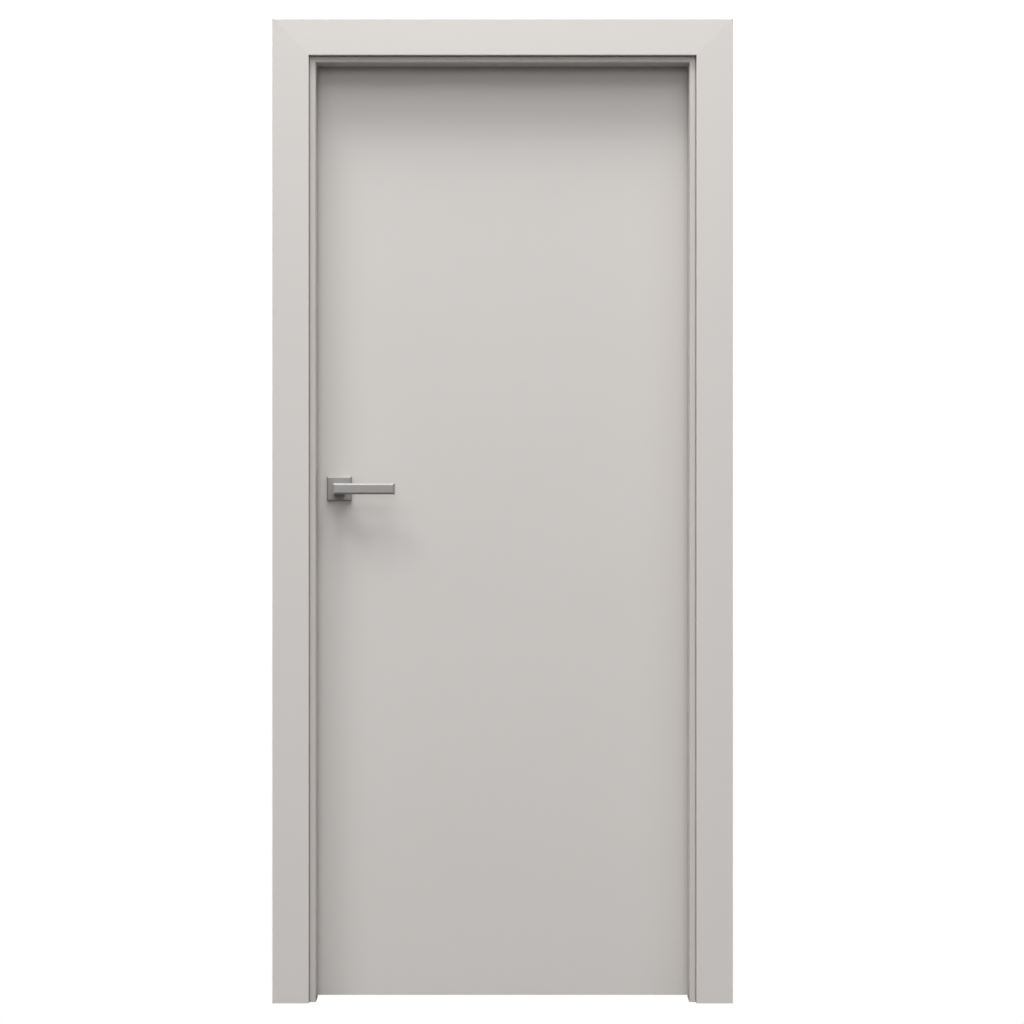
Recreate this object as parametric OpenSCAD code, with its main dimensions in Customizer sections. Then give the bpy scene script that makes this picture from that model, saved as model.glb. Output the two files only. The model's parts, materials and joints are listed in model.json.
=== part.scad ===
// Interior door set: a rebated leaf in a wrap-round wooden surround, with drilled-in hinges and a lever handle.
// Millimetres. X runs along the wall, Y through it from the push side to the pull side, Z up from the floor.
// The origin is on the hinge-side jamb's wall face, half-way through the wall, at floor level.

/* [Doorway] */
// Clear width between the two jambs
passage_w = 806; // [600:1:1000]
// Clear height from the floor to the head jamb
passage_h = 2028; // [1900:1:2300]
// Thickness of the wall that the surround wraps round
wall_t = 80; // [76:1:200]

/* [Jambs] */
// Thickness of the jamb boards
jamb_t = 28; // [26:0.5:40]
// Width of the jamb's front edge that shows beside the front casing
strip_w = 14.5; // [12:0.5:16]
// How far the jamb's front edge lies behind the wall face
strip_in = 1; // [0:0.5:8]
// Radius of the two corners of that front edge
nose_r = 3.5; // [1:0.1:5]
// Width of the step that the leaf closes into
rebate_w = 12; // [11:0.5:14]
// Depth of that step, measured from the pull-side face of the wall
rebate_d = 14; // [12:0.5:16]

/* [Casings] */
// Width of the flat front casing
casing_w = 78.5; // [60:0.5:120]
// Thickness of the front casing
front_casing_t = 14; // [12:0.5:18]
// Thickness of the back casing
back_casing_t = 12; // [10:0.5:14]
// Thickness of the front casing's tongue
tongue_t = 6; // [4:0.5:7]
// Length of the tongue behind the wall face
tongue_l = 24; // [16:1:30]
// Depth of the relief milled in each casing's wall face
relief_d = 1.5; // [0.5:0.1:3]
// Distance of that relief from the edges of the bearing face
relief_in = 8; // [4:0.5:12]
// Radius of the casings' outer edges
casing_r = 2; // [0.5:0.1:3]
// Radius of the other board edges
edge_r = 1; // [0.3:0.1:2]

/* [Leaf] */
// Thickness of the leaf
leaf_t = 40; // [36:0.5:44]
// Width of the lip that laps over the back casing
lip_w = 13; // [12:0.5:16]
// Thickness of that lip
lip_t = 14.5; // [13:0.5:16]
// Gap between the leaf's edge and the rebate
side_gap = 6; // [5:0.5:7]
// Gap between the lip and the back casing
lip_gap = 5; // [5:0.5:6]
// Gap under the leaf
floor_gap = 3; // [2:0.5:10]
// Thickness of the two facing sheets
facing_t = 3.2; // [2.5:0.1:4]
// Thickness of the band on the leaf's edges
band_t = 1; // [0.6:0.1:1.5]
// Width of the stile that holds the lock
lock_stile_w = 112; // [105:1:140]
// Width of the hinge stile
hinge_stile_w = 62; // [50:1:90]
// Height of the top and bottom rails
rail_h = 60; // [40:1:100]

/* [Seal] */
// Width of the seal's stem and of its groove
seal_stem_w = 3; // [2:0.1:4]
// Depth of the groove in the shoulder
seal_groove_d = 6; // [4:0.5:8]
// Width of the seal's foot on the shoulder
seal_foot_w = 9; // [7:0.5:10]
// Wall of the hollow bulb
seal_wall = 0.9; // [0.6:0.1:1.1]

/* [Hinges] */
// Radius of the knuckles
knuckle_r = 7; // [6.5:0.1:9]
// Length of one knuckle
knuckle_l = 28; // [24:1:36]
// Gap between a knuckle and the leaf's lip
knuckle_gap = 2; // [2:0.1:4]
// Radius of the pintle
pintle_r = 4; // [3:0.1:5]
// Radius of the drilled-in pins
hinge_pin_r = 3.5; // [2.5:0.1:4]
// Length of the leaf's pins from the hinge axis
leaf_pin_l = 45; // [35:1:50]
// Length of the frame's pins from the hinge axis
frame_pin_l = 35; // [28:1:36]
// Angle by which the frame's pins lean towards the passage
frame_pin_tilt = 16; // [12:0.5:18]
// Thickness of the washer between two knuckles
washer_t = 1.5; // [1:0.1:2.5]
// Height of the lowest hinge above the floor
hinge_low = 250; // [200:5:350]
// Distance of the highest hinge below the leaf's top edge
hinge_drop = 244; // [200:1:300]

/* [Lock] */
// Height of the lever's axis above the floor
lever_z = 1108; // [950:1:1200]
// Distance of the lever's axis from the leaf's edge
backset = 53; // [50:0.5:60]
// How far the lock case reaches below the lever's axis
case_below = 92; // [80:1:100]
// Thickness of the lock case
case_t = 15; // [13:0.5:16]
// Depth of the lock case behind its faceplate
case_d = 78; // [75:1:82]
// Height of the lock case
case_h = 165; // [155:1:200]
// Width of the faceplate in the leaf's edge
faceplate_w = 18; // [16:0.5:20]
// Length of the faceplate
faceplate_l = 235; // [205:1:260]
// Thickness of the faceplate
faceplate_t = 3; // [2:0.5:4]
// Thickness of the latch bolt
latch_t = 11; // [9:0.5:12]
// Height of the latch bolt
latch_h = 30; // [20:1:36]
// Length of the latch bolt inside the lock
latch_l = 32; // [25:1:36]
// Distance of the latch bolt's middle below the top of the lock case
latch_below = 39; // [36:1:45]
// Thickness of the strike plate
strike_t = 1.5; // [1:0.1:2]
// Length of the strike plate
strike_l = 160; // [120:1:200]
// Width of the strike plate's leg on the casing
strike_leg = 7; // [5:0.5:9]
// Depth of the pocket behind the strike plate
pocket_d = 13; // [10:0.5:13.5]

/* [Handle] */
// Side of the square rosette
rosette_w = 54; // [48:0.5:60]
// Thickness of the rosette
rosette_t = 9; // [7:0.5:12]
// Bevel of the rosette's edges
rosette_bevel = 3; // [1:0.5:4]
// Whole length of the lever
lever_l = 135; // [115:1:150]
// Height of the lever
lever_h = 24; // [20:0.5:28]
// Thickness of the lever's grip
grip_t = 10; // [8:0.5:14]
// Distance from the leaf to the front of the lever
lever_reach = 58; // [50:0.5:70]
// Width of the neck
neck_w = 24; // [20:0.5:28]
// Radius between the neck and the grip
neck_r = 9; // [4:0.5:14]
// Width of the bevels along the lever's top and bottom
bevel_h = 3.8; // [1:0.1:5]
// Width of the bevels at the lever's two ends
bevel_end = 5.4; // [2:0.1:7]
// Depth of the lever's bevels
bevel_d = 2.6; // [1:0.1:4]
// Radius of the lever's bearing in the rosette
bearing_r = 9; // [8:0.1:10]
// Side of the square spindle
spindle_w = 8; // [7:0.5:9]
// Length of the spindle inside each lever, from the leaf's face
spindle_in = 34; // [24:1:38]

/* [Hidden] */
$fn = 64;

lacquer = [0.80, 0.79, 0.77];
board = [0.72, 0.60, 0.44];
nickel = [0.56, 0.55, 0.54];
steel = [0.66, 0.66, 0.67];
gasket = [0.36, 0.31, 0.28];
nylon = [0.85, 0.85, 0.83];

cut = 1; // how far a cutting shape runs past the surface that it cuts
mitre_gap = 0.1; // hairline in the surround's corners
tongue_play = 0.2; // beside the tongue in its groove
groove_room = 1; // past the tongue's end and the seal's stem
mortise_play = 0.2; // round the lock case
plate_play = 0.05; // round let-in plates and drilled-in pins
running_play = 0.05; // radial clearance of a turning fit
seal_play = 0.3; // between the bulb and the leaf
latch_play = 0.3; // round the latch bolt
lever_play = 0.5; // between the neck and the rosette

// Depths through the wall, along Y
wall_y = wall_t / 2;
strip_y = strip_in - wall_y;
front_y = -wall_y - front_casing_t;
shoulder_y = wall_y - rebate_d;
back_y = wall_y + back_casing_t;
lip_y = back_y + lip_gap;
pull_y = lip_y + lip_t;
push_y = pull_y - leaf_t;
deep = 2 * (wall_t + leaf_t + lever_reach);

// Widths and heights, with half-widths counted from the middle of the passage
surround_w = strip_w + casing_w;
centre_x = -(jamb_t + passage_w / 2);
leaf_x = passage_w / 2 + rebate_w - side_gap;
leaf_z = passage_h + rebate_w - side_gap;
lip_x = leaf_x + lip_w;
lip_z = leaf_z + lip_w;

// Hinge axis and heights
hinge_x = centre_x + lip_x + knuckle_gap + knuckle_r;
hinge_y = lip_y + lip_t / 2;
hinge_top = leaf_z - hinge_drop;
hinge_mid = (hinge_low + hinge_top) / 2;
hinge_heights = [hinge_low, hinge_mid, hinge_top];
pin_offsets = [9, 21]; // distance of the pins from the hinge's middle
pintle_l = knuckle_l - 4;
finial_h = 2;

// Lock
lever_x = centre_x - leaf_x + backset;
lock_y = (push_y + lip_y) / 2;
case_z = lever_z - case_below;
latch_z = case_z + case_h - latch_below;
faceplate_z = case_z + case_h / 2;
screw_r = 2; // shank of the small screws
head_r = 4; // head of the small screws
head_h = 2; // height of the countersunk head
recess_w = 0.8; // arms of the cross recess
recess_l = 4.4;
recess_d = 1.2;
faceplate_screw_l = 22;
screw_away = (case_h + faceplate_l) / 4; // half-way between the case's end and the faceplate's
faceplate_screw_z = [faceplate_z - screw_away, faceplate_z + screw_away];
strike_screw_l = jamb_t - rebate_w - 2; // stops short of the wall face
strike_screw_in = 14; // from the strike plate's ends
strike_screw_z = [latch_z - strike_l / 2 + strike_screw_in, latch_z + strike_l / 2 - strike_screw_in];
strike_in = 4; // from the seal's foot to the strike plate
strike_y = shoulder_y + seal_wall + strike_in;
strike_screw_y = strike_y + 1.5 * head_r;
pocket_h = latch_h + 6;
spindle_hole_r = 10.5;
follower_r = 11;

// Waste outside a corner of radius r at p; d holds the signs that point from the corner into the board
module corner_waste(p, d, r)
  translate(p) mirror([d[0] < 0 ? 1 : 0, 0]) mirror([0, d[1] < 0 ? 1 : 0])
    difference() {
      translate([-cut, -cut]) square(r + cut);
      translate([r, r]) circle(r);
    }

// Upright member at distance x from the middle of the passage, mitred on the line through the corner (x, z).
// The child is its profile: outwards from x along X, depth along Y
module upright(side, x = passage_w / 2, z = passage_h, w = surround_w, z0 = 0)
  translate([centre_x, 0, 0]) mirror([side < 0 ? 1 : 0, 0, 0])
    intersection() {
      translate([x, 0, z0]) linear_extrude(z + w - z0) children();
      rotate([90, 0, 0]) linear_extrude(deep, center = true)
        polygon([[0, 0], [x + w + cut, 0], [x + w + cut, z + w + cut - mitre_gap], [0, z - x - mitre_gap]]);
    }

// Member across the head, with the same profile and mitred to meet the uprights
module crosspiece(x = passage_w / 2, z = passage_h, w = surround_w)
  translate([centre_x, 0, 0])
    intersection() {
      translate([0, 0, z]) rotate([0, -90, 0]) linear_extrude(2 * (x + w), center = true) children();
      rotate([90, 0, 0]) linear_extrude(deep, center = true)
        polygon([[-x - w - cut, z + w + cut], [x + w + cut, z + w + cut], [0, z - x]]);
    }

// Jamb board: front edge strip, groove for the casing's tongue, rebate with its shoulder and seal groove
module jamb_profile()
  difference() {
    translate([0, strip_y]) square([jamb_t, wall_y - strip_y]);
    translate([strip_w, -wall_y]) square([tongue_t + tongue_play, tongue_l + groove_room]);
    translate([-cut, shoulder_y]) square([rebate_w + cut, rebate_d + cut]);
    translate([(rebate_w - seal_stem_w) / 2, shoulder_y - seal_groove_d]) square([seal_stem_w, seal_groove_d + cut]);
    corner_waste([0, strip_y], [1, 1], nose_r);
    corner_waste([strip_w, strip_y], [-1, 1], nose_r);
    corner_waste([0, shoulder_y], [1, -1], edge_r);
  }

// Flat front casing with its tongue, and a relief in the face that lies on the wall
module front_casing_profile()
  difference() {
    union() {
      translate([strip_w, front_y]) square([casing_w, front_casing_t]);
      translate([strip_w, -wall_y - cut]) square([tongue_t, tongue_l + cut]);
    }
    translate([jamb_t + relief_in, -wall_y - relief_d]) square([surround_w - jamb_t - 2 * relief_in, relief_d + cut]);
    corner_waste([strip_w, front_y], [1, 1], edge_r);
    corner_waste([surround_w, front_y], [-1, 1], casing_r);
  }

// Flat back casing, nailed to the edge of the jamb
module back_casing_profile()
  difference() {
    translate([rebate_w, wall_y]) square([surround_w - rebate_w, back_casing_t]);
    translate([jamb_t + relief_in, wall_y - cut]) square([surround_w - jamb_t - 2 * relief_in, relief_d + cut]);
    corner_waste([rebate_w, back_y], [1, -1], edge_r);
    corner_waste([surround_w, back_y], [-1, -1], casing_r);
  }

// Hollow bulb seal: a stem in the groove, a foot on the shoulder and a tube towards the leaf
module seal_profile() {
  bulb_r = (push_y - seal_play - shoulder_y) / 2;
  middle = rebate_w / 2;
  difference() {
    union() {
      translate([middle - seal_stem_w / 2, shoulder_y - seal_groove_d + groove_room])
        square([seal_stem_w, seal_groove_d - groove_room + seal_wall]);
      translate([middle - seal_foot_w / 2, shoulder_y]) square([seal_foot_w, seal_wall]);
      translate([middle, shoulder_y + bulb_r]) circle(bulb_r);
    }
    translate([middle, shoulder_y + bulb_r]) circle(bulb_r - seal_wall);
  }
}

// Pins of one hinge part: all start on the hinge axis and point away from it
module hinge_pins(z, sign, angle, l, play = 0)
  for (offset = pin_offsets)
    translate([hinge_x, hinge_y, z + sign * offset]) rotate([0, 0, angle]) rotate([0, -90, 0])
      cylinder(r = hinge_pin_r + play, h = l + play);

module frame_pins(z, play = 0) hinge_pins(z, -1, 90 - frame_pin_tilt, frame_pin_l, play);
module leaf_pins(z, play = 0) hinge_pins(z, 1, 0, leaf_pin_l, play);

// Knuckle with a short cone at its outer end, drawn upwards from the hinge's middle
module knuckle() {
  translate([0, 0, washer_t / 2]) cylinder(r = knuckle_r, h = knuckle_l);
  translate([0, 0, washer_t / 2 + knuckle_l]) cylinder(r1 = knuckle_r, r2 = knuckle_r - finial_h, h = finial_h);
}

module hinge_frame_part(z)
  color(nickel) {
    translate([hinge_x, hinge_y, z]) {
      mirror([0, 0, 1]) knuckle();
      translate([0, 0, -washer_t]) cylinder(r = pintle_r, h = washer_t * 2 + pintle_l);
    }
    frame_pins(z);
  }

module hinge_leaf_part(z)
  color(nickel)
    difference() {
      union() {
        translate([hinge_x, hinge_y, z]) knuckle();
        leaf_pins(z);
      }
      translate([hinge_x, hinge_y, z]) cylinder(r = pintle_r + running_play, h = washer_t + pintle_l + 1);
    }

module hinge_washers()
  color(nylon)
    for (z = hinge_heights)
      translate([hinge_x, hinge_y, z - washer_t / 2]) difference() {
        cylinder(r = knuckle_r - 0.5, h = washer_t);
        translate([0, 0, -cut]) cylinder(r = pintle_r + running_play, h = washer_t + 2 * cut);
      }

// Strike plate, bent round the arris of rebate and casing, drawn as the right-hand member and then mirrored
module on_lock_side() translate([centre_x, 0, 0]) mirror([1, 0, 0]) translate([passage_w / 2, 0, 0]) children();

module strike_blank(play = 0)
  on_lock_side() translate([0, 0, latch_z - strike_l / 2 - play]) linear_extrude(strike_l + 2 * play) {
    translate([rebate_w - play, strike_y - play]) square([strike_t + 2 * play, back_y - strike_y + 2 * play]);
    translate([rebate_w - play, back_y - strike_t - play]) square([strike_leg + 2 * play, strike_t + 2 * play]);
  }

module latch_pocket()
  on_lock_side() translate([rebate_w - cut, lock_y - latch_t / 2 - latch_play, latch_z - pocket_h / 2])
    cube([pocket_d + cut, back_y - strike_t - lock_y + latch_t / 2 + latch_play, pocket_h]);

// Countersunk screw of length l along +X, with its head's top at the origin and a cross recess
module screw(l) {
  difference() {
    rotate([0, 90, 0]) cylinder(r1 = head_r, r2 = screw_r, h = head_h);
    for (turn = [0, 90]) rotate([turn, 0, 0]) translate([-cut, -recess_w / 2, -recess_l / 2])
      cube([cut + recess_d, recess_w, recess_l]);
  }
  translate([head_h, 0, 0]) rotate([0, 90, 0]) cylinder(r = screw_r, h = l - head_h);
}

// Space that a screw fills in the pieces round it
module screw_hole(l) {
  translate([-cut, 0, 0]) rotate([0, 90, 0]) cylinder(r = head_r + plate_play, h = cut);
  rotate([0, 90, 0]) cylinder(r1 = head_r + plate_play, r2 = screw_r + plate_play, h = head_h);
  rotate([0, 90, 0]) cylinder(r = screw_r + plate_play, h = l + plate_play);
}

module at_strike_screws()
  for (z = strike_screw_z) on_lock_side() translate([rebate_w, strike_screw_y, z]) children();

module jamb_left()
  color(lacquer)
    difference() {
      upright(-1) jamb_profile();
      strike_blank(plate_play);
      latch_pocket();
      at_strike_screws() screw_hole(strike_screw_l);
    }
module jamb_right()
  color(lacquer)
    difference() {
      upright(1) jamb_profile();
      for (z = hinge_heights) frame_pins(z, plate_play);
    }
module head_jamb() color(lacquer) crosspiece() jamb_profile();

module front_casing_left() color(lacquer) upright(-1) front_casing_profile();
module front_casing_right() color(lacquer) upright(1) front_casing_profile();
module front_casing_head() color(lacquer) crosspiece() front_casing_profile();

module back_casing_left()
  color(lacquer)
    difference() {
      upright(-1) back_casing_profile();
      strike_blank(plate_play);
      latch_pocket();
    }
module back_casing_right()
  color(lacquer)
    difference() {
      upright(1) back_casing_profile();
      for (z = hinge_heights) frame_pins(z, plate_play);
    }
module back_casing_head() color(lacquer) crosspiece() back_casing_profile();

module seal_left() color(gasket) upright(-1) seal_profile();
module seal_right() color(gasket) upright(1) seal_profile();
module seal_head() color(gasket) crosspiece() seal_profile();

module strike_plate()
  color(steel)
    difference() {
      strike_blank();
      latch_pocket();
      at_strike_screws() screw_hole(strike_screw_l);
    }
module strike_screws() color(steel) at_strike_screws() screw(strike_screw_l);

module hinge_frame_part_low() hinge_frame_part(hinge_low);
module hinge_frame_part_mid() hinge_frame_part(hinge_mid);
module hinge_frame_part_top() hinge_frame_part(hinge_top);
module hinge_leaf_part_low() hinge_leaf_part(hinge_low);
module hinge_leaf_part_mid() hinge_leaf_part(hinge_mid);
module hinge_leaf_part_top() hinge_leaf_part(hinge_top);

// Block between two heights and two half-widths from the middle of the leaf
module leaf_block(x0, x1, y0, y1, z0, z1)
  translate([centre_x + x0, y0, z0]) cube([x1 - x0, y1 - y0, z1 - z0]);

// What fills the leaf between its facings and edge bands, within a window of width and height
module leaf_filling(x0, x1, z0, z1)
  intersection() {
    union() {
      leaf_block(-leaf_x + band_t, leaf_x - band_t, push_y + facing_t, pull_y - facing_t, floor_gap, leaf_z - band_t);
      leaf_block(-lip_x + band_t, lip_x - band_t, lip_y + band_t, pull_y - facing_t, floor_gap, lip_z - band_t);
    }
    leaf_block(x0, x1, push_y, pull_y, z0, z1);
  }

// Edge band: it covers the leaf's edge, the back of the lip and the lip's edge
module band_profile()
  difference() {
    polygon([[-band_t, push_y], [0, push_y], [0, lip_y], [lip_w, lip_y], [lip_w, pull_y], [lip_w - band_t, pull_y],
      [lip_w - band_t, lip_y + band_t], [-band_t, lip_y + band_t]]);
    corner_waste([0, push_y], [-1, 1], band_t * 0.8);
    corner_waste([lip_w, lip_y], [-1, 1], band_t * 0.8);
    corner_waste([lip_w, pull_y], [-1, -1], band_t * 0.8);
  }

module side_band(side) upright(side, leaf_x, leaf_z, lip_w, floor_gap) band_profile();

module edge_band_left()
  color(lacquer)
    difference() {
      side_band(-1);
      faceplate_blank(plate_play);
    }
module edge_band_right()
  color(lacquer)
    difference() {
      side_band(1);
      for (z = hinge_heights) leaf_pins(z, plate_play);
    }
module edge_band_top() color(lacquer) crosspiece(leaf_x, leaf_z, lip_w) band_profile();

stile_in_lock = -leaf_x + lock_stile_w;
stile_in_hinge = leaf_x - hinge_stile_w;

module spindle_hole()
  translate([lever_x, push_y - cut, lever_z]) rotate([-90, 0, 0]) cylinder(r = spindle_hole_r, h = leaf_t + 2 * cut);

module leaf_front_facing()
  color(lacquer)
    difference() {
      leaf_block(-leaf_x + band_t, leaf_x - band_t, push_y, push_y + facing_t, floor_gap, leaf_z - band_t);
      spindle_hole();
    }

module leaf_back_facing()
  color(lacquer)
    difference() {
      leaf_block(-lip_x + band_t, lip_x - band_t, pull_y - facing_t, pull_y, floor_gap, lip_z - band_t);
      spindle_hole();
    }

// Space of the faceplate in the leaf's edge, with round ends
module faceplate_blank(play = 0)
  translate([centre_x - leaf_x - (play > 0 ? cut : 0), lock_y, faceplate_z - faceplate_l / 2])
    rotate([90, 0, 90]) linear_extrude(faceplate_t + (play > 0 ? cut + play : 0)) {
      translate([-faceplate_w / 2 - play, faceplate_w / 2])
        square([faceplate_w + 2 * play, faceplate_l - faceplate_w]);
      for (z = [faceplate_w / 2, faceplate_l - faceplate_w / 2]) translate([0, z]) circle(faceplate_w / 2 + play);
    }

module case_blank(play = 0)
  translate([centre_x - leaf_x + faceplate_t, lock_y - case_t / 2 - play, case_z - play])
    cube([case_d + play, case_t + 2 * play, case_h + 2 * play]);

module at_faceplate_screws()
  for (z = faceplate_screw_z) translate([centre_x - leaf_x, lock_y, z]) children();

module lock_stile()
  color(board)
    difference() {
      leaf_filling(-lip_x, stile_in_lock, floor_gap, lip_z);
      faceplate_blank(plate_play);
      case_blank(mortise_play);
      at_faceplate_screws() screw_hole(faceplate_screw_l);
      spindle_hole();
    }

module hinge_stile()
  color(board)
    difference() {
      leaf_filling(stile_in_hinge, lip_x, floor_gap, lip_z);
      for (z = hinge_heights) leaf_pins(z, plate_play);
    }

module top_rail() color(board) leaf_filling(stile_in_lock, stile_in_hinge, leaf_z - rail_h, lip_z);
module bottom_rail() color(board) leaf_filling(stile_in_lock, stile_in_hinge, floor_gap, floor_gap + rail_h);
module leaf_core() color(board) leaf_filling(stile_in_lock, stile_in_hinge, floor_gap + rail_h, leaf_z - rail_h);

// Latch bolt drawn back, flush with the faceplate
module latch_blank(play = 0)
  translate([centre_x - leaf_x - (play > 0 ? cut : 0), lock_y - latch_t / 2 - play, latch_z - latch_h / 2 - play])
    cube([latch_l + (play > 0 ? cut : 0), latch_t + 2 * play, latch_h + 2 * play]);

module lock_case()
  color(steel)
    difference() {
      case_blank();
      latch_blank(latch_play);
      translate([lever_x, push_y, lever_z]) rotate([-90, 0, 0]) cylinder(r = follower_r + running_play, h = leaf_t);
    }

module lock_faceplate()
  color(nickel)
    difference() {
      faceplate_blank();
      latch_blank(latch_play);
      at_faceplate_screws() screw_hole(faceplate_screw_l);
    }
module latch_bolt() color(nickel) latch_blank();
module faceplate_screws() color(steel) at_faceplate_screws() screw(faceplate_screw_l);

// Local frame of a handle: origin on the leaf's face at the lever's axis, outwards along -Y
module on_push_side() translate([lever_x, push_y, lever_z]) children();
module on_pull_side() translate([lever_x, pull_y, lever_z]) mirror([0, 1, 0]) children();

module rosette()
  color(nickel)
    difference() {
      intersection() {
        linear_extrude(rosette_w, center = true) rosette_section();
        rotate([0, 90, 0]) linear_extrude(rosette_w, center = true) rosette_section();
      }
      rotate([90, 0, 0]) translate([0, 0, -cut]) cylinder(r = bearing_r + running_play, h = rosette_t + 2 * cut);
    }

module rosette_section() {
  half = rosette_w / 2;
  polygon([[-half, 0], [half, 0], [half, -rosette_t + rosette_bevel], [half - rosette_bevel, -rosette_t],
    [rosette_bevel - half, -rosette_t], [-half, -rosette_t + rosette_bevel]]);
}

// Lever: an angular neck and grip with wide bevels round the front, a round bearing and a square socket
module lever() {
  back = -neck_w / 2;
  tip = lever_l + back;
  front = -lever_reach;
  grip_back = front + grip_t;
  neck_end = -rosette_t - lever_play;
  color(nickel)
    difference() {
      union() {
        intersection() {
          linear_extrude(lever_h, center = true) {
            polygon([[back + bevel_end, front], [tip - bevel_end, front], [tip, front + bevel_d],
              [tip, grip_back - edge_r], [tip - edge_r, grip_back], [neck_w / 2, grip_back],
              [neck_w / 2, neck_end], [back, neck_end], [back, front + bevel_d]]);
            translate([neck_w / 2, grip_back]) difference() {
              translate([-cut, -cut]) square(neck_r + cut);
              translate([neck_r, neck_r]) circle(neck_r);
            }
          }
          rotate([0, 90, 0]) linear_extrude(2 * lever_l, center = true)
            polygon([[bevel_h - lever_h / 2, front], [lever_h / 2 - bevel_h, front],
              [lever_h / 2, front + bevel_d], [lever_h / 2, neck_end],
              [-lever_h / 2, neck_end], [-lever_h / 2, front + bevel_d]]);
        }
        rotate([90, 0, 0]) translate([0, 0, lever_play]) cylinder(r = bearing_r, h = rosette_t + cut);
      }
      translate([-spindle_w / 2 - plate_play, -spindle_in - cut, -spindle_w / 2 - plate_play])
        cube([spindle_w + 2 * plate_play, spindle_in + 2 * cut, spindle_w + 2 * plate_play]);
    }
}

module front_rosette() on_push_side() rosette();
module back_rosette() on_pull_side() rosette();
module front_lever() on_push_side() lever();
module back_lever() on_pull_side() lever();

module spindle()
  color(steel) translate([lever_x - spindle_w / 2, push_y - spindle_in, lever_z - spindle_w / 2])
    cube([spindle_w, leaf_t + 2 * spindle_in, spindle_w]);

module lock_follower()
  color(steel)
    difference() {
      translate([lever_x, lock_y - case_t / 2, lever_z]) rotate([-90, 0, 0]) cylinder(r = follower_r, h = case_t);
      translate([lever_x - spindle_w / 2 - plate_play, push_y, lever_z - spindle_w / 2 - plate_play])
        cube([spindle_w + 2 * plate_play, leaf_t, spindle_w + 2 * plate_play]);
    }

jamb_left();
jamb_right();
head_jamb();
front_casing_left();
front_casing_right();
front_casing_head();
back_casing_left();
back_casing_right();
back_casing_head();
seal_left();
seal_right();
seal_head();
strike_plate();
strike_screws();
hinge_frame_part_low();
hinge_frame_part_mid();
hinge_frame_part_top();
hinge_washers();
leaf_front_facing();
leaf_back_facing();
edge_band_left();
edge_band_right();
edge_band_top();
lock_stile();
hinge_stile();
top_rail();
bottom_rail();
leaf_core();
hinge_leaf_part_low();
hinge_leaf_part_mid();
hinge_leaf_part_top();
lock_case();
lock_faceplate();
latch_bolt();
faceplate_screws();
front_rosette();
back_rosette();
front_lever();
back_lever();
spindle();
lock_follower();
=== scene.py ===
# An interior door set: finishes, small hardware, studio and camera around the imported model
import json
import math

import bmesh
import bpy
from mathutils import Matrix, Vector

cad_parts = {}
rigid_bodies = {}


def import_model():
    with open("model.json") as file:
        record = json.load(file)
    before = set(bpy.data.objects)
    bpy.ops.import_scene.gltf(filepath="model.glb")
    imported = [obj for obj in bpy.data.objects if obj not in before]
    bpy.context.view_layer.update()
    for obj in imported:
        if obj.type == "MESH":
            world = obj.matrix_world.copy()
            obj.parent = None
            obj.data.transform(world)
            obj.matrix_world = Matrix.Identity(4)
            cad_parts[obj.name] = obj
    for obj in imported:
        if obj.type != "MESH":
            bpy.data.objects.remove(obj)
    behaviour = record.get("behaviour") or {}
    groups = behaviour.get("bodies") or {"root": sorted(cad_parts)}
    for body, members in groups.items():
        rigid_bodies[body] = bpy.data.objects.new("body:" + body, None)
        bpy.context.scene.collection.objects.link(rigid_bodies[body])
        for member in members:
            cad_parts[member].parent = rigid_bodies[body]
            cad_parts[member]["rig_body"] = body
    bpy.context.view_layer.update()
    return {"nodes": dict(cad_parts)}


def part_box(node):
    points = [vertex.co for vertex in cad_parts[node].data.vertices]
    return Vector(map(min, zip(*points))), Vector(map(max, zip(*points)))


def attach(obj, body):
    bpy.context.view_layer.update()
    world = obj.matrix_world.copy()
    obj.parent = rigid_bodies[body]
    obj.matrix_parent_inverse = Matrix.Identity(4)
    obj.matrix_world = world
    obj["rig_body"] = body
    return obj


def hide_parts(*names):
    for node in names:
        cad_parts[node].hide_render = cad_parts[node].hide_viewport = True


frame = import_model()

scene = bpy.context.scene
print("frame loaded:", len(frame["nodes"]), "nodes")


# Camera

# The photograph's frame: its width, the pixel that the camera faces, and the width of the casings in it
photo = {"size": 1024, "facingX": 502.6, "facingY": 468.0, "surroundWidth": 460.65}
cameraPlace = {"distance": 6.31, "height": 1.153, "sensor": 36.0}


def makeCamera():
    low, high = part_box("front_casing_head")
    data = bpy.data.cameras.new("doorCamera")
    camera = bpy.data.objects.new("doorCamera", data)
    scene.collection.objects.link(camera)
    scene.camera = camera
    camera.location = ((low.x + high.x) / 2, low.y - cameraPlace["distance"], cameraPlace["height"])
    camera.rotation_euler = (math.radians(90), 0, 0)
    focalPixels = photo["surroundWidth"] / (high.x - low.x) * cameraPlace["distance"]
    data.sensor_width = cameraPlace["sensor"]
    data.lens = cameraPlace["sensor"] * focalPixels / photo["size"]
    data.shift_x = (photo["size"] / 2 - photo["facingX"]) / photo["size"]
    data.shift_y = (photo["facingY"] - photo["size"] / 2) / photo["size"]
    data.clip_end = 60


makeCamera()
print("camera placed")


# Node helpers

def addNode(tree, kind, inputs=None, **settings):
    node = tree.nodes.new(kind)
    for key, value in settings.items():
        setattr(node, key, value)
    for key, value in (inputs or {}).items():
        if isinstance(value, bpy.types.NodeSocket):
            tree.links.new(value, node.inputs[key])
        else:
            node.inputs[key].default_value = value
    return node


def mathNode(tree, operation, first, second=0.0, clamp=False):
    return addNode(tree, "ShaderNodeMath", {0: first, 1: second}, operation=operation, use_clamp=clamp).outputs[0]


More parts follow.
